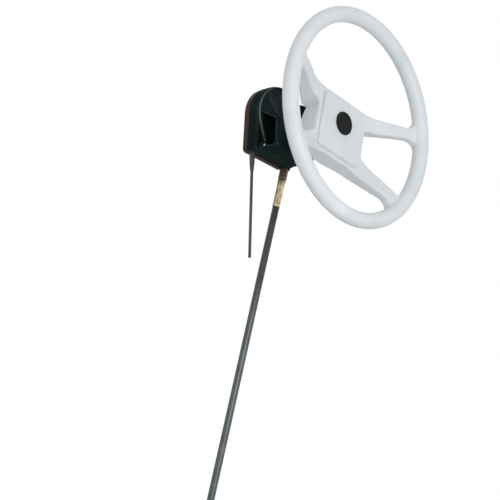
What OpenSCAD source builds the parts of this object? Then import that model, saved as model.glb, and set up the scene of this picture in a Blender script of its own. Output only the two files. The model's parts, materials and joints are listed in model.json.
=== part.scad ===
// Boat steering helm: wheel, geared cable drum, housing and push-pull steering cable.
// X is to the right as the helmsman sees it and Z is up.
// The shaft runs along -Y from the mounting face at Y = 0.

/* [Wheel] */
// Outside diameter of the steering wheel
wheel_d = 340; // [320:1:360]
// Thickness of the round rim
rim_d = 25; // [22:0.5:27]
// Distance from the mounting face to the middle of the rim
wheel_reach = 191; // [188:1:196]
// Angle the wheel is turned to the left
wheel_turn = -4; // [-180:1:180]
// Distance from the mounting face to the front of the wheel's hub
hub_front = 158; // [156:1:160]
// Depth of the wheel's hub
hub_deep = 36; // [34:1:38]
// Width of the hub cover
cover_w = 96; // [90:1:100]
// Height of the hub cover above the shaft
cover_up = 31; // [29:1:33]
// Height of the hub cover below the shaft
cover_down = 59; // [56:1:61]
// Thickness of the hub cover
cover_t = 5; // [4:0.5:6]
// Diameter of the round cap at the middle of the wheel
cap_d = 36; // [35:0.5:38]
// Distance of that cap below the shaft
cap_down = 5; // [3:0.5:6]

/* [Housing] */
// Thickness of the mounting pad
pad_t = 12; // [11:0.5:13]
// Radius of the round top of the pad
pad_r = 51; // [50.5:0.5:52]
// Radius of the round top of the drum casing
casing_r = 52; // [52:0.5:54]
// Radius of the round top of the front housing
housing_r = 50; // [49.5:0.5:51]
// Distance from the shaft down to the flat bottom
bottom_down = 40; // [39:0.5:42]
// Angle by which the two sides draw in towards the bottom
side_lean = 5.5; // [4:0.5:6]
// Depth of the drum casing
casing_deep = 19; // [19:0.5:21]
// Thickness of the casing's floor
floor_t = 2.4; // [2:0.2:2.4]
// Thickness of the drum cover
lid_t = 3; // [2.6:0.2:4]
// Depth of the front housing
housing_deep = 40; // [38:1:42]
// Wall of the casing and housing
wall = 2.2; // [1.8:0.1:2.2]
// Length of the nose that carries the shaft in front of the housing
nose_len = 38; // [34:1:38]
// Angle by which the sides of the drum cover draw in towards the bottom
lid_lean = 30; // [27:1:33]
// Bore of the threaded inserts in the pad's back
insert_d = 6; // [5:0.5:6.5]
// Distance between the inserts, sideways
insert_w = 56; // [50:1:58]
// Distance between the inserts, upwards
insert_h = 80; // [74:1:82]

/* [Gears and shaft] */
// Tooth size of the gears
gear_module = 1.5; // [1.5:0.1:1.5]
// Teeth on the drive pinion
pinion_teeth = 12; // [12:1:12]
// Teeth inside the cable drum
ring_teeth = 48; // [48:1:48]
// Pressure angle of the teeth
pressure_angle = 25; // [24:0.5:26]
// Thinning of each flank, for backlash
flank_play = 0.1; // [0.08:0.01:0.14]
// Diameter of the shaft in its front bush
shaft_d = 19; // [18:0.1:19.1]
// Diameter of the drum's axle bolt
axle_d = 12; // [10:0.1:12]
// Running clearance of shafts in their bushes, on the radius
run_gap = 0.04; // [0.02:0.01:0.08]

/* [Cable] */
// Length of the steering cable between its two ferrules
cable_len = 2380; // [2300:10:2460]
// Diameter of the steering cable
cable_d = 11; // [10.5:0.1:11]
// Diameter of the core that the drum drives
core_d = 3.4; // [3:0.1:3.4]
// Radius of the core's bend round the drum
core_r = 47.6; // [47.4:0.1:47.8]
// Distance from the mounting face to the core
core_reach = 17; // [17:0.1:17.4]
// Angle by which the two ports lean inwards
port_lean = 7.8; // [7:0.1:8.5]
// Length of the thin tube that takes the spent core
spent_len = 142; // [134:1:150]
// Half of the stroke of the output ram
half_stroke = 114; // [110:1:116]

/* [Hidden] */
$fn = 48;

// Gap between pieces that pass each other, and between a piece and its seat
pass_gap = 0.3;
seat_gap = 0.05;

// Gears: the drum's axis lies above the shaft by the difference of the pitch radii
drum_up = gear_module * (ring_teeth - pinion_teeth) / 2;
pinion_pitch_r = gear_module * pinion_teeth / 2;
ring_pitch_r = gear_module * ring_teeth / 2;
pinion_tip_r = pinion_pitch_r + gear_module;
pinion_root_r = pinion_pitch_r - 1.25 * gear_module;
ring_root_r = ring_pitch_r + 1.25 * gear_module;
// The ring's teeth are cut short where a full tooth would dig into the root of the pinion
ring_tip_r = norm([ring_pitch_r * cos(pressure_angle), drum_up * sin(pressure_angle)]) + 0.15;

// Stations along the shaft, forward of the mounting face
casing_floor = pad_t + floor_t;
casing_front = pad_t + casing_deep;
lid_front = casing_front + lid_t;
housing_front = lid_front + housing_deep;
nose_front = housing_front + nose_len;
drum_back = casing_floor + pass_gap + 0.1;
drum_front = casing_front - 2.4;
drum_web = 3.8;
pinion_back = drum_back + drum_web + 0.8;
pinion_front = drum_front + pass_gap + 0.2;
hub_back = hub_front - hub_deep;
cover_front = hub_front + cover_t;

// Shaft
rear_journal_r = 8;
pinion_seat_r = 4.5;
rear_bush_r = 10;
rear_bush_len = 9;
bush_flange_t = 1.5;
front_bush_r = 13;
front_bush_len = 18;
lid_boss_r = 14;
shoulder = casing_front + rear_bush_len + bush_flange_t + pass_gap;
circlip_t = 1.5;
taper_back = nose_front + 5;
taper_front = hub_front - 8;
taper_small_r = 8;
thread_r = 6.2;
shaft_end = hub_front + 3.5;
key_w = 4.8;
key_len = 18;
key_depth = 2.4;

// Wheel hub
taper_bush_r = 20;
taper_flange_r = 25;
nut_flats = 19;
nut_t = 6.2;
washer_t = 1.6;
washer_r = 14;
cap_skirt_r = cap_d / 2 - 2;
cap_skirt_wall = 2.4;
cap_skirt_len = 3.6;
cap_t = 3;

// Drum
axle_r = axle_d / 2;
drum_bush_wall = 2;
drum_hub_r = 11.5;
drum_rim_r = core_r - core_d / 2 - pass_gap;
axle_head_r = 10;
axle_head_t = 4;
axle_thread_r = 5;
axle_nut_flats = 16;
axle_nut_t = 8;

// Casing screws
screw_x = 32;
screw_z = -31;
screw_r = 2;
screw_head_r = 4.3;
screw_head_t = 3.2;

// Ports: each is tangent to the core's bend, leans inwards and is measured down from the tangent point
port_x = core_r * cos(port_lean);
port_z = drum_up - core_r * sin(port_lean);
port_end = (port_z + bottom_down + 2) / cos(port_lean);
port_start = 20;
port_boss_top_r = 5;
port_boss_r = 9;
core_bore_r = core_d / 2 + pass_gap + 0.1;
spigot_r = 4;
spigot_len = 6;
inlet_nut_len = 18;
inlet_nut_r = 6.8;
ferrule_len = 38;
ferrule_r = 6.3;
ferrule_neck_r = 5.7;
collar_len = 24;
collar_top_r = 4.3;
collar_tip_r = 3;
spent_r = 2.3;
spent_bore_r = 1.9;
cable_start = port_end + inlet_nut_len + ferrule_len;

// Steering cable: straight down to the coil, which hangs with its axis along Y
cable_r = cable_d / 2;
coil_turns = 5 + (270 - 180 + port_lean) / 360;
coil_pitch = cable_d + 0.6;
straight_len = 580;
coil_lead = 30;
coil_turn_len = (cable_len - straight_len - coil_lead) / coil_turns;
coil_r = sqrt(pow(coil_turn_len, 2) - pow(coil_pitch, 2)) / 360 * 180 / PI;
coil_entry = along_port(1, cable_start + straight_len);
coil_centre = [coil_entry[0] + coil_r * cos(port_lean), coil_entry[2] - coil_r * sin(port_lean)];
coil_exit = [coil_centre[0] + coil_lead, -core_reach - coil_turns * coil_pitch, coil_centre[1] - coil_r];
coil_sides = 6;
coil_rings = 24;
cable_sides = 10;
cable_ring_step = 29;
tie_w = 4.6;
tie_t = 1.3;
tie_gap = 0.45;
tie_angles = [20, 115, 225];

// Output end: ferrule, nut, guide tube and the ram that slides on the tube
output_ferrule_len = 45;
output_nut_len = 26;
output_nut_flats = 24;
guide_r = 4.75;
ram_r = 7.95;
ram_wall_gap = 0.07;
ram_rest = half_stroke + 3;
guide_len = 2 * half_stroke + 30;
ram_len = guide_len + 6;
eye_r = 9;
eye_t = 9;
eye_bore_r = 4.8;
eye_neck = 14;
eye_edge = 1;
thread_turns = 8;
thread_pitch = 1.5;
thread_deep = 0.5;
wiper_at = 5;

function along_port(side, s) = [side * (port_x - s * sin(port_lean)), -core_reach,
    port_z - s * cos(port_lean)];
function polar(r, a) = [r * cos(a), r * sin(a)];
function arc(c, r, a0, a1, n) = [for (i = [0:n]) c + polar(r, a0 + (a1 - a0) * i / n)];
function unit(v) = v / norm(v);

// Corners of a polygon, each rounded to its own radius by an arc of n steps
function rounded(pts, radii, n = 5) = [
    for (i = [0:len(pts) - 1])
        let (
            p = pts[i],
            u = unit(pts[(i + len(pts) - 1) % len(pts)] - p),
            v = unit(pts[(i + 1) % len(pts)] - p),
            half = acos(max(-1, min(1, u * v))) / 2,
            r = radii[i],
            c = p + unit(u + v) * (r / sin(half)),
            from = p + u * (r / tan(half)) - c,
            to = p + v * (r / tan(half)) - c,
            a0 = atan2(from[1], from[0]),
            turn = atan2(from[0] * to[1] - from[1] * to[0], from * to)
        )
        each r == 0 ? [p] : arc(c, r, a0, a0 + turn, n)
];

// Outline of the pad and casings: a round top whose sides run down as tangents to a flat bottom
function horseshoe(r, down, corner, lean = side_lean) =
    let (
        tx = r * cos(lean),
        tz = drum_up - r * sin(lean),
        foot = tx - (tz + down) * tan(lean),
        steps = 6,
        lower = rounded([[-foot, -down], [foot, -down], [tx, tz], [-tx, tz]],
            [corner, corner, 0, 0], steps)
    )
    concat(
        arc([0, drum_up], r, -lean, 180 + lean, 56),
        [for (i = [0:2 * steps + 1]) lower[i]]
    );

// Involute tooth: half of its angle at radius r, for a gear of z teeth
function involute(a) = tan(a) * 180 / PI - a;
function tooth_half(z, r, play) =
    let (pitch = gear_module * z / 2, base = pitch * cos(pressure_angle))
    90 / z + involute(pressure_angle) - involute(acos(min(1, base / max(r,
        base)))) - play / pitch * 180 / PI;
function gear_outline(z, r0, r1, play, steps = 4) = [
    for (i = [0:z - 1])
        let (c = 360 * i / z)
        each concat(
            [for (k = [0:steps]) let (r = r0 + (r1 - r0) * k / steps)
            polar(r, c - tooth_half(z, r, play))],
            [for (k = [steps:-1:0]) let (r = r0 + (r1 - r0) * k / steps)
            polar(r, c + tooth_half(z, r, play))]
        )
];

// Places a shape drawn in X and height so that it runs forward from a station on the shaft
module forward(from) {
    rotate([90, 0, 0]) translate([0, 0, from]) children();
}

// Revolves a profile of [radius, station] points about the shaft
module turned(profile) {
    rotate([90, 0, 0]) rotate_extrude() polygon(profile);
}

// Revolves a profile of [radius, distance] points about a port's axis, measured down from the tangent point
module along_lean(side, profile) {
    translate(along_port(side, 0)) rotate([180, side * port_lean, 0]) rotate_extrude() polygon(profile);
}

// Revolves a profile of [radius, distance] points about the output end, measured from the coil's exit
module along_output(profile) {
    translate(coil_exit) rotate([0, 90, 0]) rotate_extrude() polygon(profile);
}

module hexagon(flats, len) {
    cylinder(d = flats / cos(30), h = len, $fn = 6);
}

// Tube swept through a list of points, with a list of directions that its rings stand square to
module swept(points, ways, r, sides) {
    rings = len(points);
    corners = [
        for (i = [0:rings - 1])
            let (
                side = unit(cross(ways[i], [0, 1, 0.001])),
                top = cross(side, unit(ways[i]))
            )
            each [for (k = [0:sides - 1])
                points[i] + r * (cos(360 * k / sides) * side + sin(360 * k / sides) * top)]
    ];
    skin = [
        for (i = [0:rings - 2], k = [0:sides - 1])
            let (a = i * sides + k, b = i * sides + (k + 1) % sides)
            each [[a, b, b + sides], [a, b + sides, a + sides]]
    ];
    ends = [
        for (k = [1:sides - 2])
            each [[0, k + 1, k], [(rings - 1) * sides, (rings - 1) * sides + k,
                (rings - 1) * sides + k + 1]]
    ];
    polyhedron(corners, concat(skin, ends));
}

// Mounting pad and its threaded inserts

insert_mid = 18;
insert_places = [for (x = [-1, 1], z = [-1, 1]) [x * insert_w / 2, insert_mid + z * insert_h / 2]];
insert_wall = 1.6;
insert_len = 10;
pad_edge = 2;

module mounting_pad() {
    color("#46392e") difference() {
        hull() {
            forward(0) linear_extrude(pad_t) polygon(horseshoe(pad_r - pad_edge, bottom_down - pad_edge,
                5));
            forward(pad_edge) linear_extrude(pad_t - 2 * pad_edge)
                polygon(horseshoe(pad_r, bottom_down, 7));
        }
        for (p = insert_places)
            translate([p[0], 0, p[1]]) forward(-1) cylinder(r = insert_d / 2 + insert_wall + seat_gap,
                h = insert_len + 1);
        for (x = [-screw_x, screw_x])
            translate([x, 0, screw_z]) forward(pad_t - 9) cylinder(r = screw_r + seat_gap, h = 10);
        translate([0, 0, drum_up]) turned([
            [0, -1], [axle_head_r + seat_gap, -1], [axle_head_r + seat_gap, seat_gap],
            [axle_r + seat_gap, axle_head_t + seat_gap], [axle_r + seat_gap, pad_t + 1], [0, pad_t + 1]
        ]);
    }
}

module mounting_inserts() {
    color("#b9a46a") for (p = insert_places)
        translate([p[0], 0, p[1]]) turned([
            [insert_d / 2, 0], [insert_d / 2 + insert_wall, 0], [insert_d / 2 + insert_wall, insert_len],
            [insert_d / 2, insert_len]
        ]);
}

// Drum casing and its cover

casing_edge = 1.5;

module rear_casing() {
    color("#1d2423") difference() {
        union() {
            forward(pad_t) linear_extrude(casing_deep - casing_edge)
                polygon(horseshoe(casing_r, bottom_down, 6));
            forward(pad_t) linear_extrude(casing_deep)
                polygon(horseshoe(casing_r - casing_edge, bottom_down - casing_edge, 5));
            for (side = [-1, 1])
                along_lean(side, [[0, port_start], [port_boss_top_r, port_start],
                    [port_boss_r, port_end - 2], [port_boss_r - 1, port_end], [0, port_end]]);
        }
        // The port bosses stay in front of the pad
        forward(-1) linear_extrude(pad_t + 1) square(4 * casing_r, center = true);
        // Drum space, with solid corners at the bottom for the screws and ports
        translate([0, 0, drum_up]) forward(casing_floor) cylinder(r = casing_r - wall, h = casing_deep);
        for (side = [-1, 1])
            along_lean(side, [
                [0, -1], [core_bore_r, -1], [core_bore_r, port_end - spigot_len],
                [spigot_r + seat_gap, port_end - spigot_len],
                [spigot_r + seat_gap, port_end + 1], [0, port_end + 1]
            ]);
        for (x = [-screw_x, screw_x])
            translate([x, 0, screw_z]) forward(pad_t - 1) cylinder(r = screw_r + seat_gap,
                h = casing_deep + 2);
        translate([0, 0, drum_up]) forward(pad_t - 1) cylinder(r = axle_r + seat_gap, h = floor_t + 2);
    }
}

lid_r = casing_r - 1;
lid_edge = 0.8;
foot_t = 5;
foot_front = casing_front + foot_t;
foot_r = 7;

module drum_cover() {
    color("#202827") difference() {
        union() {
            forward(casing_front) linear_extrude(lid_t - lid_edge)
                polygon(horseshoe(lid_r, bottom_down - 1.5, 6, lid_lean));
            forward(casing_front) linear_extrude(lid_t)
                polygon(horseshoe(lid_r - lid_edge, bottom_down - 1.5 - lid_edge, 5, lid_lean));
            forward(casing_front) cylinder(r = lid_boss_r, h = rear_bush_len);
        }
        forward(casing_front - 1) cylinder(r = rear_bush_r + seat_gap, h = rear_bush_len + 2);
        translate([0, 0, drum_up]) forward(casing_front - 1)
            cylinder(r = axle_thread_r + seat_gap, h = lid_t + 2);
    }
}

module casing_screws() {
    color("silver") for (x = [-screw_x, screw_x])
        translate([x, 0, screw_z]) turned([
            [0, pad_t - 8], [screw_r, pad_t - 6], [screw_r, foot_front], [screw_head_r, foot_front],
            [screw_head_r, foot_front + 0.6 * screw_head_t],
            [0.6 * screw_head_r, foot_front + screw_head_t],
            [0, foot_front + screw_head_t]
        ]);
}

// Front housing: the same outline carried forward under a sloping roof, with a window in each side

roof_knee = [housing_front, 4];
roof_back = [lid_front - 1, drum_up + housing_r - 7];
roof_slope = (roof_back[1] - roof_knee[1]) / (roof_knee[0] - roof_back[0]);
front_round = 14;
window_floor = -bottom_down + 3.5;
window = [[lid_front - 2, 21.5], [housing_front - 7.5, 4.2], [housing_front - 7.5, window_floor],
    [lid_front - 2, window_floor]];
window_in = 24;
rib_angles = [90, 135, 180, 225, 270];
rib_t = 3;
rib_out = 33;
rib_len = 20;
nose_back_r = 21;
nose_tip_r = 17.5;
nose_bore_r = shaft_d / 2 + 1;
nose_start = lid_front + 12;
web_t = 4;

// Solid form of the housing, drawn in by a wall on every side but the back
module housing_form(inset) {
    fall = inset * norm([1, roof_slope]);
    side_view = rounded(
        [[lid_front - 1, -bottom_down + inset], [housing_front - inset, -bottom_down + inset],
         [roof_knee[0] - inset, roof_knee[1] + inset * roof_slope - fall],
         [roof_back[0], roof_back[1] - fall]],
        [0, 6, 10, 0]
    );
    reach = housing_front - inset;
    half_w = housing_r - inset;
    top_view = rounded(
        [[-half_w, lid_front - 1], [half_w, lid_front - 1], [half_w, reach], [-half_w, reach]],
        [0, 0, front_round - inset, front_round - inset], 7
    );
    intersection() {
        forward(inset == 0 ? lid_front : lid_front - 1) linear_extrude(housing_deep + 2)
            polygon(horseshoe(half_w, bottom_down - inset, 6));
        translate([2 * housing_r, 0, 0]) rotate([90, 0, -90]) linear_extrude(4 * housing_r)
            polygon(side_view);
        translate([0, 0, -2 * bottom_down]) mirror([0, 1, 0]) linear_extrude(4 * housing_r)
            polygon(top_view);
    }
}

// Opening in the left side, behind which the drum cover and the feet show
module window_cut() {
    difference() {
        translate([-window_in, 0, 0]) rotate([90, 0, -90]) linear_extrude(2 * housing_r)
            polygon(rounded(window, [0, 5, 5, 0]));
        translate([-screw_x, 0, screw_z]) forward(casing_front - 1) cylinder(r = foot_r, h = foot_t + 1);
        translate([-screw_x - foot_r, -foot_front, -2 * bottom_down])
            cube([2 * foot_r, 2 * foot_t, 2 * bottom_down + screw_z]);
    }
}

module front_housing() {
    color("#212a29") difference() {
        union() {
            difference() {
                housing_form(0);
                housing_form(wall);
            }
            turned([
                [0, nose_start], [nose_back_r, nose_start], [nose_back_r, housing_front],
                [nose_tip_r, nose_front - 1], [nose_tip_r - 1, nose_front], [0, nose_front]
            ]);
            // Web under the nose, inside the shell
            translate([-web_t / 2, -housing_front + wall / 2, -bottom_down + wall / 2])
                cube([web_t, housing_front - nose_start - wall, bottom_down - nose_bore_r - 4]);
            for (a = rib_angles)
                rotate([0, a, 0]) rotate([90, 0, 90]) translate([0, 0, -rib_t / 2]) linear_extrude(rib_t)
                    polygon([
                        [-housing_front + wall / 2, nose_tip_r - 2], [-housing_front + wall / 2, rib_out],
                        [-housing_front - 2, rib_out], [-housing_front - rib_len, nose_tip_r - 1]
                    ]);
            // Feet beside the drum cover, each under a screw's head and joined to the floor of the shell
            for (x = [-screw_x, screw_x])
                translate([x, 0, 0]) difference() {
                    union() {
                        translate([0, 0, screw_z]) forward(casing_front) cylinder(r = foot_r, h = foot_t);
                        translate([-foot_r, -foot_front, -bottom_down + wall / 2])
                            cube([2 * foot_r, foot_front - lid_front, screw_z + bottom_down - wall / 2]);
                    }
                    translate([-x, 0, 0]) forward(casing_front - 1) linear_extrude(lid_t + 1 + pass_gap)
                        polygon(horseshoe(lid_r + pass_gap, bottom_down + 2, 6, lid_lean));
                }
        }
        for (x = [-screw_x, screw_x])
            translate([x, 0, screw_z]) forward(casing_front - 1)
                cylinder(r = screw_r + seat_gap, h = foot_t + 2);
        for (side = [0, 1])
            mirror([side, 0, 0]) window_cut();
        forward(nose_start - 1) cylinder(r = nose_bore_r, h = nose_len + housing_deep);
        forward(nose_front - front_bush_len) cylinder(r = front_bush_r + seat_gap,
            h = front_bush_len + 1);
    }
}

// Bushes, drum and axle

module rear_bush() {
    color("#b08d57") turned([
        [rear_journal_r + run_gap, casing_front], [rear_bush_r, casing_front],
        [rear_bush_r, casing_front + rear_bush_len],
        [lid_boss_r, casing_front + rear_bush_len], [lid_boss_r,
        casing_front + rear_bush_len + bush_flange_t],
        [rear_journal_r + run_gap, casing_front + rear_bush_len + bush_flange_t]
    ]);
}

module front_bush() {
    color("#b08d57") turned([
        [shaft_d / 2 + run_gap, nose_front - front_bush_len], [front_bush_r, nose_front - front_bush_len],
        [front_bush_r, nose_front], [shaft_d / 2 + run_gap, nose_front]
    ]);
}

module drum_axle() {
    color("silver") translate([0, 0, drum_up]) turned([
        [0, 0], [axle_head_r, 0], [axle_r, axle_head_t], [axle_r, casing_front],
        [axle_thread_r, casing_front],
        [axle_thread_r, lid_front + axle_nut_t + 2], [0, lid_front + axle_nut_t + 2]
    ]);
}

module axle_nut() {
    color("silver") translate([0, 0, drum_up]) difference() {
        forward(lid_front) hexagon(axle_nut_flats, axle_nut_t);
        forward(lid_front - 1) cylinder(r = axle_thread_r + seat_gap, h = axle_nut_t + 2);
    }
}

module drum_washer() {
    color("#d9d4c4") translate([0, 0, drum_up]) turned([
        [axle_r + seat_gap, drum_front + pass_gap], [drum_hub_r - 1, drum_front + pass_gap],
        [drum_hub_r - 1, casing_front], [axle_r + seat_gap, casing_front]
    ]);
}

groove_t = core_d + 0.8;

module cable_drum() {
    color("#6b6f72") translate([0, 0, drum_up]) difference() {
        union() {
            forward(drum_back) cylinder(r = drum_rim_r, h = drum_front - drum_back);
            forward(core_reach + groove_t / 2) cylinder(r = drum_rim_r + 1,
                h = drum_front - core_reach - groove_t / 2);
        }
        forward(drum_back + drum_web) linear_extrude(drum_front) difference() {
            polygon(gear_outline(ring_teeth, ring_tip_r, ring_root_r, -flank_play));
            circle(drum_hub_r);
        }
        forward(drum_back - 1) cylinder(r = axle_r + drum_bush_wall, h = drum_front);
        for (i = [0:5])
            rotate([0, 60 * i, 0]) translate([0, 0, (drum_hub_r + ring_tip_r) / 2]) forward(drum_back - 1)
                cylinder(r = 7, h = drum_web + 2);
    }
}

module drum_bush() {
    color("#b08d57") translate([0, 0, drum_up]) turned([
        [axle_r + run_gap, drum_back], [axle_r + drum_bush_wall, drum_back],
        [axle_r + drum_bush_wall, drum_front],
        [axle_r + run_gap, drum_front]
    ]);
}

// Input shaft and what is on it

module keyway(grow) {
    taper_mid = (taper_back + taper_front) / 2;
    mid_r = (shaft_d / 2 + taper_small_r) / 2;
    rotate([0, wheel_turn * -1, 0]) translate([-key_w / 2 - grow, -taper_mid - key_len / 2 - grow,
        mid_r - key_depth - grow])
        cube([key_w + 2 * grow, key_len + 2 * grow, 2 * key_depth + 2 * grow]);
}

circlip_groove_r = shaft_d / 2 - 1;

module input_shaft() {
    color("silver") difference() {
        turned([
            [0, pinion_back], [pinion_seat_r - 0.5, pinion_back], [pinion_seat_r, pinion_back + 0.5],
            [pinion_seat_r, pinion_front],
            [rear_journal_r, pinion_front], [rear_journal_r, shoulder], [shaft_d / 2, shoulder],
            [shaft_d / 2, nose_front + pass_gap], [circlip_groove_r, nose_front + pass_gap],
            [circlip_groove_r, nose_front + pass_gap + circlip_t],
            [shaft_d / 2, nose_front + pass_gap + circlip_t],
            [shaft_d / 2, taper_back], [taper_small_r, taper_front], [thread_r, taper_front],
            [thread_r, shaft_end - 1], [thread_r - 1, shaft_end], [0, shaft_end]
        ]);
        keyway(seat_gap);
    }
}

module drive_pinion() {
    color("#8d9093") difference() {
        forward(pinion_back) linear_extrude(pinion_front - pinion_back)
            polygon(gear_outline(pinion_teeth, pinion_root_r, pinion_tip_r, flank_play));
        forward(pinion_back - 1) cylinder(r = pinion_seat_r + seat_gap / 2,
            h = pinion_front - pinion_back + 2);
    }
}

module shaft_circlip() {
    color("#55585a") forward(nose_front + pass_gap + seat_gap) linear_extrude(circlip_t - 2 * seat_gap)
        difference() {
        circle(shaft_d / 2 + 2.5);
        circle(circlip_groove_r + seat_gap);
        translate([-3, -2 * shaft_d]) square([6, 2 * shaft_d]);
    }
}

module shaft_key() {
    color("#55585a") keyway(0);
}

module hub_insert() {
    color("#9a9da0") difference() {
        turned([
            [shaft_d / 2 + seat_gap, taper_back], [taper_flange_r, taper_back],
            [taper_flange_r, hub_back],
            [taper_bush_r, hub_back], [taper_bush_r, taper_front], [taper_small_r + seat_gap, taper_front]
        ]);
        keyway(seat_gap);
    }
}

module wheel_washer() {
    color("silver") turned([
        [thread_r + seat_gap, taper_front], [washer_r, taper_front], [washer_r, taper_front + washer_t],
        [thread_r + seat_gap, taper_front + washer_t]
    ]);
}

module wheel_nut() {
    color("silver") difference() {
        forward(taper_front + washer_t) hexagon(nut_flats, nut_t);
        forward(taper_front + washer_t - 1) cylinder(r = thread_r + seat_gap, h = nut_t + 2);
    }
}

// Steering wheel: a dished web cut to spokes by four openings, and a round rim

rim_mid_r = (wheel_d - rim_d) / 2;
spoke_end_r = rim_mid_r - 5;
rim_corner = 24;
hub_lip = hub_front + 2.5;
hub_side = cover_w / 2 + 8;
hub_top = cover_up + 5;
hub_bottom = -cover_down - 7.5;
side_draft = 13;
side_gap_top = 8.5;
side_gap_down = 37;
top_angle = 16.5;
side_top_angle = 11;
side_low_angle = -33;
bottom_angle = -39.3;
cover_reach = norm([cover_w / 2, cover_down]) + 2;
cover_gap = 2;

// Opening between two spokes: the hub-side corners, then a stretch inside the rim
function opening(hub_pts, hub_r, a0, a1, steps) =
    let (rim_pts = arc([0, 0], spoke_end_r, a0, a1, steps))
    rounded(
        concat(hub_pts, rim_pts),
        concat([for (p = hub_pts) hub_r], [rim_corner], [for (i = [1:steps - 1]) 0], [rim_corner])
    );
top_hub = [[-hub_side + 3, hub_top], [hub_side - 3, hub_top]];
bottom_hub = [[30, hub_bottom], [-30, hub_bottom]];
right_hub = [[hub_side, side_gap_top], [hub_side - 1, -side_gap_down]];

module wheel_openings() {
    polygon(opening(top_hub, 0, top_angle, 180 - top_angle, 7));
    polygon(opening(bottom_hub, 30, 180 - bottom_angle, 360 + bottom_angle, 4));
    for (side = [0, 1]) mirror([side, 0])
        polygon(opening(right_hub, 7, side_low_angle, side_top_angle, 2));
}

// Dished web of hub and spokes, with a cone at its back
module wheel_web() {
    turned([
        [0, hub_back], [cover_reach - 20, hub_back], [rim_mid_r, wheel_reach - 6],
        [rim_mid_r, wheel_reach + 5], [rim_mid_r - 14.5, wheel_reach - 1],
        [cover_reach + 47, wheel_reach - 7.5], [cover_reach + 30, wheel_reach - 15.5],
        [cover_reach + 19, wheel_reach - 21.5], [cover_reach + 8, hub_lip + 4],
        [cover_reach - 2, hub_lip + 1], [cover_reach - 12, hub_lip], [0, hub_lip]
    ]);
}

module steering_wheel() {
    color("#dfe5e8") rotate([0, -wheel_turn, 0]) difference() {
        union() {
            difference() {
                wheel_web();
                forward(hub_back - 1) linear_extrude(wheel_reach) wheel_openings();
            }
            rotate([90, 0, 0]) rotate_extrude() translate([rim_mid_r, wheel_reach]) circle(d = rim_d);
        }
        // The hub's sides draw in towards the back
        for (side = [0, 1]) mirror([side, 0, 0]) translate([0, 0, -side_gap_down])
            linear_extrude(side_gap_top + side_gap_down) polygon([
                [hub_side + 1, -hub_lip + 2], [hub_side - side_draft, -hub_back + 1],
                [hub_side + 10, -hub_back + 1], [hub_side + 10, -hub_lip + 2]
            ]);
        forward(hub_front) linear_extrude(10) polygon(cover_outline(-cover_gap));
        forward(hub_back - 1) cylinder(r = taper_bush_r + seat_gap, h = hub_deep + 2);
    }
}

function cover_outline(inset) = rounded(
    [[-cover_w / 2 + inset, -cover_down + inset], [cover_w / 2 - inset, -cover_down + inset],
     [cover_w / 2 - inset, cover_up - inset], [-cover_w / 2 + inset, cover_up - inset]],
    [9, 9, 9, 9], 6
);
cover_edge = 2.5;

module hub_cover() {
    color("#e3e8ea") rotate([0, -wheel_turn, 0]) difference() {
        hull() {
            forward(hub_front) linear_extrude(cover_t - cover_edge) polygon(cover_outline(0));
            forward(hub_front) linear_extrude(cover_t) polygon(cover_outline(cover_edge));
        }
        translate([0, 0, -cap_down]) forward(hub_front - 1) cylinder(r = cap_skirt_r + seat_gap,
            h = cover_t + 2);
    }
}

module centre_cap() {
    color("#26282a") rotate([0, -wheel_turn, 0]) translate([0, 0, -cap_down]) turned([
        [cap_skirt_r - cap_skirt_wall, cover_front - cap_skirt_len],
        [cap_skirt_r, cover_front - cap_skirt_len],
        [cap_skirt_r, cover_front], [cap_d / 2, cover_front], [cap_d / 2, cover_front + 1],
        [cap_d / 2 - 1.2, cover_front + 2], [0, cover_front + cap_t], [0, cover_front],
        [cap_skirt_r - cap_skirt_wall, cover_front]
    ]);
}

// Core, port fittings and the thin tube

core_step = 8;
core_arc = [for (a = [-port_lean:core_step:180 + port_lean]) a];
core_down = port_end + 34;
core_points = concat(
    [along_port(1, cable_start), along_port(1, cable_start / 2)],
    [for (a = core_arc) [core_r * cos(a), -core_reach, drum_up + core_r * sin(a)]],
    [along_port(-1, 0), along_port(-1, core_down / 2), along_port(-1, core_down)]
);
core_ways = concat(
    [-1 * port_way(1), -1 * port_way(1)],
    [for (a = core_arc) [-sin(a), 0, cos(a)]],
    [port_way(-1), port_way(-1), port_way(-1)]
);
function port_way(side) = [-side * sin(port_lean), 0, -cos(port_lean)];

module cable_core() {
    color("#85888a") swept(core_points, core_ways, core_d / 2, 8);
}

module inlet_nut() {
    color("#7d6a45") difference() {
        along_lean(1, [
            [0, port_end - spigot_len + seat_gap], [spigot_r, port_end - spigot_len + seat_gap],
            [spigot_r, port_end], [inlet_nut_r, port_end], [inlet_nut_r, port_end + inlet_nut_len - 1],
            [inlet_nut_r - 1, port_end + inlet_nut_len], [0, port_end + inlet_nut_len]
        ]);
        along_lean(1, [[0, 0], [core_bore_r, 0], [core_bore_r, cable_start], [0, cable_start]]);
    }
}

ferrule_crimps = [10, 17, 24];
crimp_w = 3;

module cable_ferrule() {
    top = port_end + inlet_nut_len;
    color("#c9b57e") difference() {
        along_lean(1, concat(
            [[0, top], [ferrule_r, top]],
            [for (s = ferrule_crimps)
                each [[ferrule_r, top + s], [ferrule_neck_r, top + s + 1],
                    [ferrule_neck_r, top + s + crimp_w - 1], [ferrule_r, top + s + crimp_w]]],
            [[ferrule_r, cable_start], [0, cable_start]]
        ));
        along_lean(1, [[0, 0], [core_bore_r, 0], [core_bore_r, cable_start + 1], [0, cable_start + 1]]);
    }
}

module spent_collar() {
    color("#4c5052") along_lean(-1, [
        [spent_r + seat_gap, port_end - spigot_len + seat_gap],
        [spigot_r, port_end - spigot_len + seat_gap], [spigot_r, port_end],
        [collar_top_r, port_end], [collar_tip_r, port_end + collar_len],
        [spent_r + seat_gap, port_end + collar_len]
    ]);
}

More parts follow.
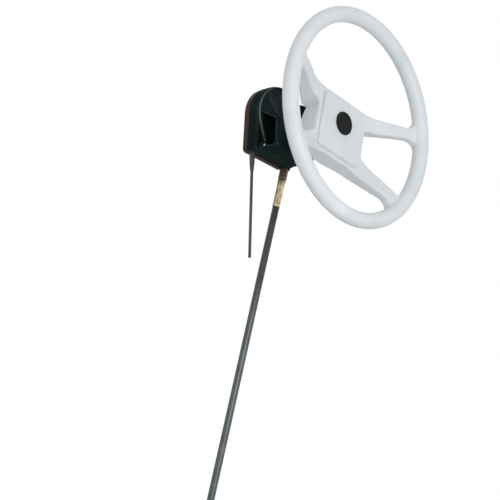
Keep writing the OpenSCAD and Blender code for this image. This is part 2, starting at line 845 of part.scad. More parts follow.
module spent_tube() {
    top = port_end - spigot_len + seat_gap;
    end = port_end + collar_len + spent_len;
    color("#63676a") along_lean(-1, [
        [spent_bore_r, top], [spent_r, top], [spent_r, end - 0.5], [spent_r - 0.5, end], [0, end],
        [0, end - 2], [spent_bore_r, end - 2]
    ]);
}

// Steering cable, its coil and ties

cable_rings = ceil(straight_len / cable_ring_step);

module steering_cable() {
    color("#5d6163") swept(
        [for (i = [0:cable_rings]) along_port(1, cable_start + straight_len * i / cable_rings)],
        [for (i = [0:cable_rings]) port_way(1)],
        cable_r, cable_sides
    );
}

// Centre of the cable at an angle along the coil, counted from where it enters
coil_start_angle = 180 - port_lean;
coil_slope = coil_pitch / coil_turn_len;
function coil_point(a) = [
    coil_centre[0] + coil_r * cos(coil_start_angle + a),
    -core_reach - coil_pitch * a / 360,
    coil_centre[1] + coil_r * sin(coil_start_angle + a)
];
function coil_way(a) = [-sin(coil_start_angle + a), -coil_slope, cos(coil_start_angle + a)];
coil_steps = round(coil_turns * coil_rings);
coil_angles = [for (i = [0:coil_steps]) 360 * coil_turns * i / coil_steps];
coil_points = concat([for (a = coil_angles) coil_point(a)], [coil_exit]);
coil_gap = min([
    for (i = [0:coil_steps], j = [i + coil_rings / 2:coil_steps]) norm(coil_points[i] - coil_points[j])
]) - cable_d;
echo(coil_gap = coil_gap, coil_across = 2 * coil_r);

module cable_coil() {
    color("#5d6163") swept(
        coil_points,
        concat([port_way(1)], [for (i = [1:coil_steps - 1]) coil_way(coil_angles[i])], [[1, 0, 0],
            [1, 0, 0]]),
        cable_r, coil_sides
    );
}

// Band round all the turns at one angle of the coil, with its lock on the outside
module coil_tie(angle) {
    first = (angle - coil_start_angle + 720) % 360;
    turns = floor((360 * coil_turns - first) / 360);
    near = core_reach + coil_pitch * first / 360;
    far = near + coil_pitch * turns;
    inner = cable_r + tie_gap;
    outer = inner + tie_t;
    translate([coil_centre[0], 0, coil_centre[1]]) rotate([0, -angle, 0])
        translate([coil_r, 0, -tie_w / 2])
        linear_extrude(tie_w) {
            difference() {
                stadium(near, far, outer);
                stadium(near, far, inner);
            }
            translate([inner, -(near + far) / 2 - 4]) square([5, 8]);
        }
}

module stadium(near, far, r) {
    polygon(concat(arc([0, -near], r, 0, 180, 12), arc([0, -far], r, 180, 360, 12)));
}

module coil_ties() {
    color("#2b2d2e") for (a = tie_angles) coil_tie(a);
}

// Output end

module output_ferrule() {
    crimps = [12, 20, 28];
    color("#c9b57e") along_output(concat(
        [[0, 0], [ferrule_r, 0]],
        [for (s = crimps) each [[ferrule_r, s], [ferrule_neck_r, s + 1],
        [ferrule_neck_r, s + crimp_w - 1], [ferrule_r, s + crimp_w]]],
        [[ferrule_r, output_ferrule_len], [0, output_ferrule_len]]
    ));
}

module output_nut() {
    color("#b9bcbe") difference() {
        translate(coil_exit) rotate([0, 90, 0]) translate([0, 0, output_ferrule_len])
            hexagon(output_nut_flats, output_nut_len);
        along_output([[0, 0], [guide_r + seat_gap, 0], [guide_r + seat_gap,
            2 * output_nut_len + output_ferrule_len],
                      [0, 2 * output_nut_len + output_ferrule_len]]);
    }
}

module guide_tube() {
    start = output_ferrule_len;
    end = start + output_nut_len + guide_len;
    turns = [for (i = [0:thread_turns - 1]) start + output_nut_len + 1 + i * thread_pitch];
    color("#b9bcbe") along_output(concat(
        [[core_bore_r, start], [guide_r, start]],
        [for (s = turns) each [[guide_r, s], [guide_r - thread_deep, s + 0.6], [guide_r, s + 1.2]]],
        [[guide_r, end - 0.8], [guide_r - 0.8, end], [core_bore_r, end]]
    ));
}

module output_ram() {
    start = output_ferrule_len + output_nut_len + ram_rest;
    bore = guide_r + ram_wall_gap;
    wiper = start + wiper_at;
    color("#c4c7c9") along_output([
        [bore, start], [ram_r - 0.8, start], [ram_r, start + 0.8], [ram_r, wiper],
        [ram_r - 0.6, wiper + 0.6], [ram_r - 0.6, wiper + 2.4], [ram_r, wiper + 3],
        [ram_r, start + ram_len], [bore, start + ram_len]
    ]);
}

module ram_end() {
    start = output_ferrule_len + output_nut_len + ram_rest + ram_len;
    plug_r = guide_r + ram_wall_gap - seat_gap;
    color("#c4c7c9") difference() {
        union() {
            along_output([[0, start - 3], [plug_r, start - 3], [plug_r, start], [ram_r, start],
                [ram_r, start + eye_neck - 4],
                          [eye_t / 2, start + eye_neck], [0, start + eye_neck]]);
            translate(coil_exit + [start + eye_neck + eye_r - 2, -eye_t / 2, 0]) rotate([-90, 0, 0])
                rotate_extrude() polygon([[0, 0], [eye_r - eye_edge, 0], [eye_r, eye_edge],
                    [eye_r, eye_t - eye_edge], [eye_r - eye_edge, eye_t], [0, eye_t]]);
        }
        translate(coil_exit + [start + eye_neck + eye_r - 2, -eye_t, 0]) rotate([-90, 0, 0])
            cylinder(r = eye_bore_r, h = 2 * eye_t);
    }
}

mounting_pad();
mounting_inserts();
rear_casing();
drum_cover();
front_housing();
casing_screws();
drum_axle();
axle_nut();
drum_washer();
rear_bush();
front_bush();
cable_drum();
drum_bush();
input_shaft();
drive_pinion();
shaft_circlip();
shaft_key();
hub_insert();
wheel_washer();
wheel_nut();
steering_wheel();
hub_cover();
centre_cap();
cable_core();
inlet_nut();
cable_ferrule();
spent_collar();
spent_tube();
steering_cable();
cable_coil();
coil_ties();
output_ferrule();
output_nut();
guide_tube();
output_ram();
ram_end();
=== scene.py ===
import json
import math

import bmesh
import bpy
from mathutils import Matrix, Vector


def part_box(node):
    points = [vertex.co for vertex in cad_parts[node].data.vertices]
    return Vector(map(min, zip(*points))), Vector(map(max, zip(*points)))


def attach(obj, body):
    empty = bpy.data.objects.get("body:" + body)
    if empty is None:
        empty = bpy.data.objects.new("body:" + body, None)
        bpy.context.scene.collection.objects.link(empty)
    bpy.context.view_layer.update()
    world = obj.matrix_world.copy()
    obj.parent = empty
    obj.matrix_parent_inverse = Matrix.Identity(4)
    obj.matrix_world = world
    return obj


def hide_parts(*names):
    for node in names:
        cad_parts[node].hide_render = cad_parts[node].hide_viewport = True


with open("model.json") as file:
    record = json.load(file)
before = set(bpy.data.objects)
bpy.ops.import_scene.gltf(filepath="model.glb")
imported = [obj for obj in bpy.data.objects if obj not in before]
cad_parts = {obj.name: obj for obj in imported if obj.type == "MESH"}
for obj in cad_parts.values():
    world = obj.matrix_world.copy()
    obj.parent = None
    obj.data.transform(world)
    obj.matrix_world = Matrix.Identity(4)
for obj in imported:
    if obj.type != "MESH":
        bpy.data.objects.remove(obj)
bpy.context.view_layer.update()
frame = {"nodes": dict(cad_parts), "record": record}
collection = bpy.context.scene.collection
print("frame loaded:", len(frame["nodes"]), "nodes")

mm = 0.001
weld = 0.001 * mm  # corners of a node that are nearer than this are one
origin = (0, 0, 0)  # where the shaft's axis meets the dash
alongShaft = (0, -1, 0)  # from the dash to the wheel

# Camera, fitted to the rim, the pad's edges and the two cable ports
cameraFacts = {
    "place": (-1.84107, -1.74583, -1.00921),
    "right": (0.65571, -0.74614, 0.11538),
    "down": (0.30566, 0.12260, -0.94422),
    "forward": (0.69037, 0.65440, 0.30845),
    "lens": 124.4,
    "sensor": 36.0,
    "farClip": 30.0,
}


def setCamera(facts):
    data = bpy.data.cameras.new("photoCamera")
    data.lens = facts["lens"]
    data.sensor_width = facts["sensor"]
    data.clip_end = facts["farClip"]
    camera = bpy.data.objects.new("photoCamera", data)
    across = Vector(facts["right"])
    up = -Vector(facts["down"])
    back = -Vector(facts["forward"])
    turn = Matrix((across, up, back)).transposed().to_4x4()
    camera.matrix_world = Matrix.Translation(facts["place"]) @ turn
    collection.objects.link(camera)
    bpy.context.scene.camera = camera


setCamera(cameraFacts)
print("camera set")


# Mesh helpers

def link(name, mesh, smooth=True):
    piece = bpy.data.objects.new(name, mesh)
    collection.objects.link(piece)
    for face in mesh.polygons:
        face.use_smooth = smooth
    return piece


# Finished mesh work as a piece, with its faces looking outwards
def linkWork(name, work, smooth=True):
    bmesh.ops.recalc_face_normals(work, faces=work.faces)
    mesh = bpy.data.meshes.new(name)
    work.to_mesh(mesh)
    work.free()
    return link(name, mesh, smooth)


# A profile with each of its corners rounded by a short curve, which takes at most its share of a side
def easeCorners(points, radius, steps=4, most=0.45):
    eased = [points[0]]
    for before, here, after in zip(points, points[1:], points[2:]):
        a, p, b = Vector(before), Vector(here), Vector(after)
        reach = min(radius, (a - p).length * most, (b - p).length * most)
        start = p + (a - p).normalized() * reach
        stop = p + (b - p).normalized() * reach
        for i in range(steps + 1):
            t = i / steps
            spot = start * (1 - t) ** 2 + p * 2 * t * (1 - t) + stop * t ** 2
            eased.append((spot.x, spot.y))
    eased.append(points[-1])
    return eased


# Turned piece: a profile of (radius, distance) in mm about a line from start along way.
# Its angles are counted from zero. A shape moves each point of a ring: it takes radius, distance
# and angle, and gives a new radius and distance
def turnedPiece(name, profile, start, way, sides, shape=None, closed=False, zero=None, smooth=True):
    start = Vector(start)
    way = Vector(way).normalized()
    side = Vector(zero) if zero else way.orthogonal().normalized()
    other = way.cross(side)
    work = bmesh.new()
    rings = []
    for radius, distance in profile:
        if radius == 0:
            rings.append([work.verts.new(start + way * distance * mm)])
            continue
        ring = []
        for k in range(sides):
            angle = 2 * math.pi * k / sides
            r, d = shape(radius, distance, angle) if shape else (radius, distance)
            out = side * math.cos(angle) + other * math.sin(angle)
            ring.append(work.verts.new(start + way * d * mm + out * r * mm))
        rings.append(ring)
    pairs = list(zip(rings, rings[1:]))
    if closed:
        pairs.append((rings[-1], rings[0]))
    for low, high in pairs:
        if len(low) == len(high) == 1:
            continue
        for k in range(sides):
            n = (k + 1) % sides
            if len(low) == 1:
                work.faces.new((low[0], high[n], high[k]))
            elif len(high) == 1:
                work.faces.new((low[k], low[n], high[0]))
            else:
                work.faces.new((low[k], low[n], high[n], high[k]))
    return linkWork(name, work, smooth)


# Distance from the middle of a hexagon to its side, at an angle
def hexSide(half, angle):
    return half / math.cos((angle % (math.pi / 3)) - math.pi / 6)


# Moulded copy of a node: its own solid, skinned afresh so that every edge is softly rounded.
# Tools are pairs of a Boolean operation and the piece that it takes
def mouldedCopy(node, name, skin, rounds, tools=()):
    mesh = frame["nodes"][node].data.copy()
    mesh.name = name
    mesh.materials.clear()
    work = bmesh.new()
    work.from_mesh(mesh)
    bmesh.ops.remove_doubles(work, verts=work.verts, dist=weld)
    work.to_mesh(mesh)
    work.free()
    rough = bpy.data.objects.new(name + "Rough", mesh)
    collection.objects.link(rough)
    for operation, tool in tools:
        cut = rough.modifiers.new("shape", "BOOLEAN")
        cut.operation = operation
        cut.solver = "EXACT"
        cut.object = tool
    remesh = rough.modifiers.new("skin", "REMESH")
    remesh.mode = "VOXEL"
    remesh.voxel_size = skin * mm
    soften = rough.modifiers.new("soften", "SMOOTH")
    soften.factor = 0.5
    soften.iterations = rounds
    bpy.context.view_layer.update()
    graph = bpy.context.evaluated_depsgraph_get()
    made = bpy.data.meshes.new_from_object(rough.evaluated_get(graph))
    made.name = name
    for scrap in [rough] + [tool for operation, tool in tools]:
        bpy.data.objects.remove(scrap)
    return link(name, made)


# Materials

# sRGB hex to the linear colour that the shader takes
def linear(code):
    parts = [int(code[i:i + 2], 16) / 255 for i in (1, 3, 5)]
    return [c / 12.92 if c <= 0.04045 else ((c + 0.055) / 1.055) ** 2.4 for c in parts] + [1.0]


# One node with its settings, values and links
def add(tree, kind, values=None, links=None, **settings):
    node = tree.nodes.new(kind)
    for key, value in settings.items():
        setattr(node, key, value)
    for socket, value in (values or {}).items():
        node.inputs[socket].default_value = value
    for socket, source in (links or {}).items():
        tree.links.new(source, node.inputs[socket])
    return node


def newMaterial(name):
    material = bpy.data.materials.new(name)
    material.use_nodes = True
    tree = material.node_tree
    tree.nodes.clear()
    return material, tree


def endMaterial(tree, values, links):
    shader = add(tree, "ShaderNodeBsdfPrincipled", values, links)
    add(tree, "ShaderNodeOutputMaterial", links={"Surface": shader.outputs["BSDF"]})


# Noise scale for features of a given size in mm; the frame is in metres
def perMm(size):
    return 1 / mm / size


# A colour that gives way to another over a stretch along its way, its edge broken up by a pattern
def darkenedAlong(tree, place, colour, pattern, darkening):
    along = add(tree, "ShaderNodeVectorMath", {1: darkening["way"]}, {0: place}, operation="DOT_PRODUCT")
    reach = darkening["ragged"] * mm
    ragged = add(tree, "ShaderNodeMapRange", {"To Min": -reach, "To Max": reach}, {"Value": pattern})
    level = add(tree, "ShaderNodeMath",
                links={0: along.outputs["Value"], 1: ragged.outputs["Result"]}, operation="ADD")
    share = add(tree, "ShaderNodeMapRange",
                {"From Min": darkening["none"] * mm, "From Max": darkening["full"] * mm, "To Max": darkening["most"]},
                {"Value": level.outputs["Value"]}, interpolation_type="SMOOTHSTEP")
    mixed = add(tree, "ShaderNodeMix", {7: linear(darkening["colour"])},
                {0: share.outputs["Result"], 6: colour}, data_type="RGBA")
    return mixed.outputs[2]


# A colour that gives way to a paler one where the surface bends outwards: a painted highlight along the
# edges, standing in for glints
def paintedEdgeHighlight(tree, colour, edge):
    shape = add(tree, "ShaderNodeNewGeometry")
    share = add(tree, "ShaderNodeMapRange",
                {"From Min": edge["none"], "From Max": edge["full"], "To Max": edge["most"]},
                {"Value": shape.outputs["Pointiness"]})
    mixed = add(tree, "ShaderNodeMix", {7: linear(edge["colour"])},
                {0: share.outputs["Result"], 6: colour}, data_type="RGBA")
    return mixed.outputs[2]


# Moulded plastic: an even colour with slight flow marks, and the faint orange peel of a spark-etched mould
def mouldedPlastic(name, facts):
    material, tree = newMaterial(name)
    place = add(tree, "ShaderNodeTexCoord").outputs["Object"]
    flow = add(tree, "ShaderNodeTexNoise", {"Scale": perMm(facts["flow"]), "Detail": 3.0},
               {"Vector": place})
    shade = add(tree, "ShaderNodeValToRGB", links={"Fac": flow.outputs["Fac"]})
    low, high = shade.color_ramp.elements
    low.position = facts["darkAt"]
    low.color = linear(facts["dark"])
    high.position = facts["lightAt"]
    high.color = linear(facts["light"])
    gloss = add(tree, "ShaderNodeMapRange",
                {"To Min": facts["roughness"] - facts["glossier"],
                 "To Max": facts["roughness"] + facts["duller"]},
                {"Value": flow.outputs["Fac"]})
    peel = add(tree, "ShaderNodeTexNoise", {"Scale": perMm(facts["peel"]), "Detail": 2.0},
               {"Vector": place})
    bump = add(tree, "ShaderNodeBump",
               {"Strength": facts["peelStrength"], "Distance": facts["peelDepth"] * mm},
               {"Height": peel.outputs["Fac"]})
    colour = shade.outputs["Color"]
    for darkening in facts["darkenings"]:
        colour = darkenedAlong(tree, place, colour, flow.outputs["Fac"], darkening)
    # Painted highlight along edges that bend outwards
    if facts["edge"]:
        colour = paintedEdgeHighlight(tree, colour, facts["edge"])
    endMaterial(tree, {"IOR": facts["ior"], "Specular IOR Level": facts["specular"]},
                {"Base Color": colour, "Roughness": gloss.outputs["Result"],
                 "Normal": bump.outputs["Normal"]})
    return material


# Plated or turned metal: a grain that runs one way, with a slow change of tint
def workedMetal(name, facts):
    material, tree = newMaterial(name)
    place = add(tree, "ShaderNodeTexCoord").outputs["Object"]
    stretch = add(tree, "ShaderNodeMapping", {"Scale": facts["grainWay"]}, {"Vector": place})
    grain = add(tree, "ShaderNodeTexNoise", {"Scale": perMm(facts["grain"]), "Detail": 4.0},
                {"Vector": stretch.outputs["Vector"]})
    tint = add(tree, "ShaderNodeTexNoise", {"Scale": perMm(facts["patch"]), "Detail": 3.0},
               {"Vector": place})
    shade = add(tree, "ShaderNodeValToRGB", links={"Fac": tint.outputs["Fac"]})
    low, high = shade.color_ramp.elements
    low.position = facts["darkAt"]
    low.color = linear(facts["dark"])
    high.position = facts["lightAt"]
    high.color = linear(facts["light"])
    gloss = add(tree, "ShaderNodeMapRange",
                {"To Min": facts["roughness"] - facts["glossier"],
                 "To Max": facts["roughness"] + facts["duller"]},
                {"Value": grain.outputs["Fac"]})
    bump = add(tree, "ShaderNodeBump",
               {"Strength": facts["grainStrength"], "Distance": facts["grainDepth"] * mm},
               {"Height": grain.outputs["Fac"]})
    colour = shade.outputs["Color"]
    for darkening in facts["darkenings"]:
        colour = darkenedAlong(tree, place, colour, tint.outputs["Fac"], darkening)
    endMaterial(tree, {"Metallic": facts["metallic"]},
                {"Base Color": colour, "Roughness": gloss.outputs["Result"],
                 "Normal": bump.outputs["Normal"]})
    return material


# What the plastics share. Their peel is drawn coarser than the real one, so that it shows
plasticShared = {"darkAt": 0.3, "lightAt": 0.7, "glossier": 0.04, "duller": 0.06, "peelDepth": 0.2,
                 "darkenings": (), "edge": None}
plasticFacts = {
    # White polyurethane, moulded and satin: faint cool flow marks
    "whitePolyurethane": dict(dark="#d6dde1", light="#e2e7ea", flow=60, peel=0.9, peelStrength=0.12,
                              roughness=0.42, ior=1.49, specular=0.5),
    # Glass-filled nylon, moulded near black with a green cast: slight orange peel, with a faint painted
    # highlight along its edges
    "blackNylon": dict(dark="#131e1e", light="#202d2d", flow=30, peel=1.6, peelStrength=0.2,
                       roughness=0.26, ior=1.53, specular=0.002,
                       edge=dict(colour="#6f7b79", none=0.51, full=0.54, most=0.22)),
    # The same nylon on the drum cover, with a strong painted highlight along its rim
    "paintedRimNylon": dict(dark="#131e1e", light="#202d2d", flow=30, peel=1.6, peelStrength=0.2,
                        roughness=0.26, ior=1.53, specular=0.002,
                        edge=dict(colour="#84908d", none=0.51, full=0.54, most=0.85)),
    # Black ABS of the cap, moulded smooth: an even, dull black
    "blackAbs": dict(dark="#141617", light="#1c1e1f", flow=12, peel=0.8, peelStrength=0.1,
                     roughness=0.32, ior=1.53, specular=0.06),
    # Grey nylon of the thin tube and its collar, extruded and drawn: dull
    "greyNylon": dict(dark="#3d4242", light="#4d5353", flow=9, peel=0.7, peelStrength=0.2,
                      roughness=0.36, ior=1.53, specular=0.25),
    # Polyethylene jacket of the cable, extruded: dark grey with a soft sheen, darker towards the helm
    "greyPolyethylene": dict(dark="#3a4143", light="#4a5153", flow=18, peel=1.2, peelStrength=0.10,
                             roughness=0.34, ior=1.51, specular=0.30,
                             darkenings=[dict(colour="#2b3130", way=(0, 0, 1), none=-330, full=-110,
                                          ragged=40, most=0.5)]),
    # Nylon of the ties, moulded: black and satin
    "blackTieNylon": dict(dark="#1b1c1d", light="#28292a", flow=6, peel=0.8, peelStrength=0.15,
                          roughness=0.5, ior=1.53, specular=0.4),
    # Acetal of the thrust washer, turned: milky
    "whiteAcetal": dict(dark="#d2cdbf", light="#dfdbd0", flow=8, peel=0.6, peelStrength=0.1,
                        roughness=0.4, ior=1.48, specular=0.5),
}
# What the metals share. Their grain is drawn coarser than the real one, so that it shows
metalShared = {"darkAt": 0.35, "lightAt": 0.65, "glossier": 0.06, "duller": 0.10, "grainDepth": 0.1,
               "metallic": 1.0, "darkenings": ()}
metalFacts = {
    # Yellow-passivated zinc on steel: cream gold with cloudy patches, with painted shade in brown down the
    # left side of the camera's view and painted shade at its top, under the port where the housing hangs
    # over it
    "yellowZinc": dict(dark="#c0a86f", light="#eee2bd", grain=0.5, patch=7, grainWay=(1, 1, 0.2),
                       grainStrength=0.25, roughness=0.40, metallic=0.6,
                       # Painted shade down the left side, away from the light
                       darkenings=[dict(colour="#6b5f42", way=(0.644, -0.746, -0.088), none=39.4, full=36.8,
                                    ragged=0.8, most=0.85),
                               # Painted shade at the top, under the housing
                               dict(colour="#4c3d2c", way=(0, 0, 1), none=-71, full=-60,
                                    ragged=4, most=0.9)]),
    # Clear zinc on steel fasteners: bluish silver
    "clearZinc": dict(dark="#a9adae", light="#c6c9ca", grain=0.4, patch=5, grainWay=(1, 1, 1),
                      grainStrength=0.2, roughness=0.32),
    # Stainless tube, drawn and polished lengthways: bright, with fine lines along it
    "drawnStainless": dict(dark="#b4b7b9", light="#cccfd1", grain=0.6, patch=30, grainWay=(0.03, 1, 1),
                           grainStrength=0.2, roughness=0.22),
    # Shaft steel, turned and oiled: mid grey, with fine rings round it
    "turnedSteel": dict(dark="#8f9294", light="#adb0b2", grain=0.5, patch=14, grainWay=(0.2, 6, 0.2),
                        grainStrength=0.2, roughness=0.3),
    # Spring steel, blackened by oxide: dark and even
    "blackOxide": dict(dark="#2c2e30", light="#3d4042", grain=0.5, patch=5, grainWay=(1, 1, 1),
                       grainStrength=0.2, roughness=0.4),
    # Bronze of the bushes, sintered and oiled: warm brown with a pitted grain
    "sinteredBronze": dict(dark="#8a6a3d", light="#b18d5c", grain=0.35, patch=4, grainWay=(1, 1, 1),
                           grainStrength=0.4, roughness=0.42),
    # Die-cast aluminium of the drum and the hub insert: dull with fine grain
    "castAluminium": dict(dark="#808385", light="#9fa2a4", grain=0.8, patch=12, grainWay=(1, 1, 1),
                          grainStrength=0.35, roughness=0.45),
    # Wire core of the cable, wound and greased: an uneven grey
    "woundWire": dict(dark="#6d7072", light="#8d9092", grain=1.2, patch=6, grainWay=(1, 1, 2),
                      grainStrength=0.6, roughness=0.35),
}
# Stained hardwood, sawn and oiled: fine grain that runs up the pad, with a dull satin surface.
# Its pores are drawn coarse enough to show
woodFacts = {
    "pale": "#524135", "deep": "#2d231c", "deepAt": 0.34, "paleAt": 0.68, "ring": 2.2, "long": 0.09,
    "wander": 0.6, "pore": 0.5, "poreStrength": 0.3, "poreDepth": 0.2, "roughness": 0.42, "specular": 0.12,
}


def stainedWood(name, facts):
    material, tree = newMaterial(name)
    place = add(tree, "ShaderNodeTexCoord").outputs["Object"]
    stretch = add(tree, "ShaderNodeMapping", {"Scale": (1.0, 1.0, facts["long"])}, {"Vector": place})
    rings = add(tree, "ShaderNodeTexNoise",
                {"Scale": perMm(facts["ring"]), "Detail": 5.0, "Distortion": facts["wander"]},
                {"Vector": stretch.outputs["Vector"]})
    shade = add(tree, "ShaderNodeValToRGB", links={"Fac": rings.outputs["Fac"]})
    low, high = shade.color_ramp.elements
    low.position = facts["deepAt"]
    low.color = linear(facts["deep"])
    high.position = facts["paleAt"]
    high.color = linear(facts["pale"])
    pores = add(tree, "ShaderNodeTexNoise", {"Scale": perMm(facts["pore"]), "Detail": 2.0},
                {"Vector": stretch.outputs["Vector"]})
    bump = add(tree, "ShaderNodeBump",
               {"Strength": facts["poreStrength"], "Distance": facts["poreDepth"] * mm},
               {"Height": pores.outputs["Fac"]})
    endMaterial(tree, {"Roughness": facts["roughness"], "Specular IOR Level": facts["specular"]},
                {"Base Color": shade.outputs["Color"], "Normal": bump.outputs["Normal"]})
    return material


finishes = {name: mouldedPlastic(name, plasticShared | facts) for name, facts in plasticFacts.items()}
finishes.update({name: workedMetal(name, metalShared | facts) for name, facts in metalFacts.items()})
finishes["stainedHardwood"] = stainedWood("stainedHardwood", woodFacts)
slotFinishes = {
    "pad_wood": "stainedHardwood", "zinc_steel": "clearZinc", "housing_plastic": "blackNylon",
    "acetal": "whiteAcetal", "bronze": "sinteredBronze", "cast_drum": "castAluminium",
    "shaft_steel": "turnedSteel", "spring_steel": "blackOxide", "hub_metal": "castAluminium",
    "wheel_plastic": "whitePolyurethane", "cap_plastic": "blackAbs", "core_wire": "woundWire",
    "yellow_zinc": "yellowZinc", "grey_plastic": "greyNylon", "tube_grey": "greyNylon",
    "cable_jacket": "greyPolyethylene", "tie_plastic": "blackTieNylon", "stainless": "drawnStainless",
}
for entry in frame["record"]["subparts"]:
    node = frame["nodes"][entry["node"]]
    node.data.materials.clear()
    node.data.materials.append(finishes[slotFinishes[entry["material_slot"]]])
print("materials made:", len(finishes))


# Puts a piece in its finish, on its body and in place of its nodes
def fit(piece, slot, body, *nodes, finish=None):
    piece.data.materials.clear()
    piece.data.materials.append(finishes[finish or slotFinishes[slot]])
    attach(piece, body)
    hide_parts(*nodes)
    return piece


# Ports and the cable's route, as in the part's source
portFacts = {"lean": 7.8, "coreRadius": 47.6, "drumUp": 27.0, "reach": 17.0, "bottom": 42.0}
portLean = math.radians(portFacts["lean"])
portX = portFacts["coreRadius"] * math.cos(portLean)
portZ = portFacts["drumUp"] - portFacts["coreRadius"] * math.sin(portLean)
portEnd = (portZ + portFacts["bottom"]) / math.cos(portLean)
rightWay = (-math.sin(portLean), 0, -math.cos(portLean))
leftWay = (math.sin(portLean), 0, -math.cos(portLean))


# Place at a distance along the line of the left port (-1) or the right one (1)
def alongPort(side, distance):
    out = portX - distance * math.sin(portLean)
    return Vector((side * out, -portFacts["reach"], portZ - distance * math.cos(portLean))) * mm


# Its coil has five turns, and then runs on until the cable points to the side
cableFacts = {
    "length": 2380.0, "diameter": 11.0, "start": 56.0, "straight": 580.0, "lead": 30.0, "pitch": 11.6,
    "turns": 5 + (90 + portFacts["lean"]) / 360, "perTurn": 48, "straightPoints": 30, "roundness": 6,
}


# Straight down from the right port, then a coil about a line along the shaft's way, then out to the side
def cableRoute(facts):
    start = portEnd + facts["start"]
    turnLength = (facts["length"] - facts["straight"] - facts["lead"]) / facts["turns"]
    radius = math.sqrt(turnLength ** 2 - facts["pitch"] ** 2) / (2 * math.pi)
    count = facts["straightPoints"]
    points = [alongPort(1, start + facts["straight"] * i / count) for i in range(count)]
    entry = alongPort(1, start + facts["straight"]) / mm
    middleX = entry.x + radius * math.cos(portLean)
    middleZ = entry.z - radius * math.sin(portLean)
    steps = round(facts["turns"] * facts["perTurn"])
    for i in range(steps + 1):
        turned = 2 * math.pi * facts["turns"] * i / steps
        angle = math.pi - portLean + turned
        x = middleX + radius * math.cos(angle)
        y = -portFacts["reach"] - facts["pitch"] * turned / (2 * math.pi)
        z = middleZ + radius * math.sin(angle)
        points.append(Vector((x, y, z)) * mm)
    points.append(points[-1] + Vector((facts["lead"] * mm, 0, 0)))
    return points


def makeCable(facts, route):
    curve = bpy.data.curves.new("cableJacket", "CURVE")
    curve.dimensions = "3D"
    curve.bevel_depth = facts["diameter"] / 2 * mm
    curve.bevel_resolution = facts["roundness"]
    curve.use_fill_caps = True
    line = curve.splines.new("POLY")
    line.points.add(len(route) - 1)
    for spot, place in zip(line.points, route):
        spot.co = (*place, 1.0)
    line.use_smooth = True
    cable = bpy.data.objects.new("cableJacket", curve)
    collection.objects.link(cable)
    return cable


route = cableRoute(cableFacts)
cableEnd = route[-1]
cable = fit(makeCable(cableFacts, route), "cable_jacket", "helm_body", "steering_cable", "cable_coil")
print("cable laid")

# Wheel: openings between hub and rim, in the wheel's own plane, with the tight corners of the moulding.
# Each opening has its corners at the hub, their radius, the angles of its arc and the arc's corner radii
wheelFacts = {
    "turn": 4.0, "rimMiddle": 157.5, "rim": 12.5, "rimSides": 32, "reach": 191.0,
    "arc": 152.5, "arcStep": 21.0, "back": 118.0, "front": 215.0,
    "openings": (
        (((-52.7, 36.3), (52.7, 36.3)), 0.0, (16.7, 163.3), (15.0, 15.0)),
        (((29.7, -66.8), (-29.7, -66.8)), 30.0, (219.5, 320.5), (15.0, 15.0)),
        (((56.3, 8.2), (55.3, -36.7)), 7.0, (-32.8, 10.8), (13.0, 17.0)),
        (((-55.3, -36.7), (-56.3, 8.2)), 7.0, (169.2, 212.8), (17.0, 13.0)),
    ),
    # The hub runs on behind its spokes: corners of one side as out from the shaft, forward and up
    "hubBack": ((45.0, 127.0, -37.0), (38.2, 108.5, -37.0), (38.2, 108.5, -5.0), (41.8, 118.0, 11.0),
                (45.0, 127.0, 11.0), (30.0, 124.0, -56.0)),
    # Round recess in it, clear of the nose and the insert, as radius and distance
    "recess": ((0, 100.0), (28.0, 100.0), (27.0, 121.5), (20.1, 121.5), (20.1, 128.0), (0, 128.0)),
}
wheelTurn = Matrix.Rotation(math.radians(wheelFacts["turn"]), 3, "Y")


# Outline with each corner rounded by an arc of its radius
def roundedOutline(points, radii, steps=8):
    outline = []
    for i, (corner, radius) in enumerate(zip(points, radii)):
        p = Vector(corner)
        if radius == 0:
            outline.append(p)
            continue
        u = (Vector(points[i - 1]) - p).normalized()
        v = (Vector(points[(i + 1) % len(points)]) - p).normalized()
        half = u.angle(v) / 2
        middle = p + (u + v).normalized() * radius / math.sin(half)
        start = p + u * radius / math.tan(half) - middle
        sweep = start.angle_signed(p + v * radius / math.tan(half) - middle)
        for k in range(steps + 1):
            outline.append(middle + Matrix.Rotation(-sweep * k / steps, 2) @ start)
    return outline


def wheelOpenings(facts):
    work = bmesh.new()
    for hub, hubRadius, (first, last), (cornerA, cornerB) in facts["openings"]:
        steps = round((last - first) / facts["arcStep"])
        angles = [math.radians(first + (last - first) * i / steps) for i in range(steps + 1)]
        arc = [(facts["arc"] * math.cos(a), facts["arc"] * math.sin(a)) for a in angles]
        radii = [hubRadius] * len(hub) + [cornerA] + [0] * (steps - 1) + [cornerB]
        flat = [wheelTurn @ Vector((p.x, 0, p.y)) for p in roundedOutline(list(hub) + arc, radii)]
        low, high = [[work.verts.new(Vector((p.x, -f, p.z)) * mm) for p in flat]
                     for f in (facts["back"], facts["front"])]
        work.faces.new(low)
        work.faces.new(high)
        for k in range(len(flat)):
            work.faces.new((low[k - 1], low[k], high[k], high[k - 1]))
    return linkWork("wheelOpenings", work)


def wheelRim(facts):
    profile = []
    for k in range(facts["rimSides"]):
        angle = 2 * math.pi * k / facts["rimSides"]
        profile.append((facts["rimMiddle"] + facts["rim"] * math.cos(angle),
                        facts["reach"] + facts["rim"] * math.sin(angle)))
    return turnedPiece("wheelRim", profile, origin, alongShaft, sides=192, closed=True)


def hubBack(facts):
    work = bmesh.new()
    corners = [(side * out, -ahead, up) for out, ahead, up in facts["hubBack"] for side in (-1, 1)]
    spots = [work.verts.new(wheelTurn @ Vector(corner) * mm) for corner in corners]
    bmesh.ops.convex_hull(work, input=spots)
    return linkWork("hubBack", work)


def hubRecess(facts):
    return turnedPiece("hubRecess", facts["recess"], origin, alongShaft, sides=96)


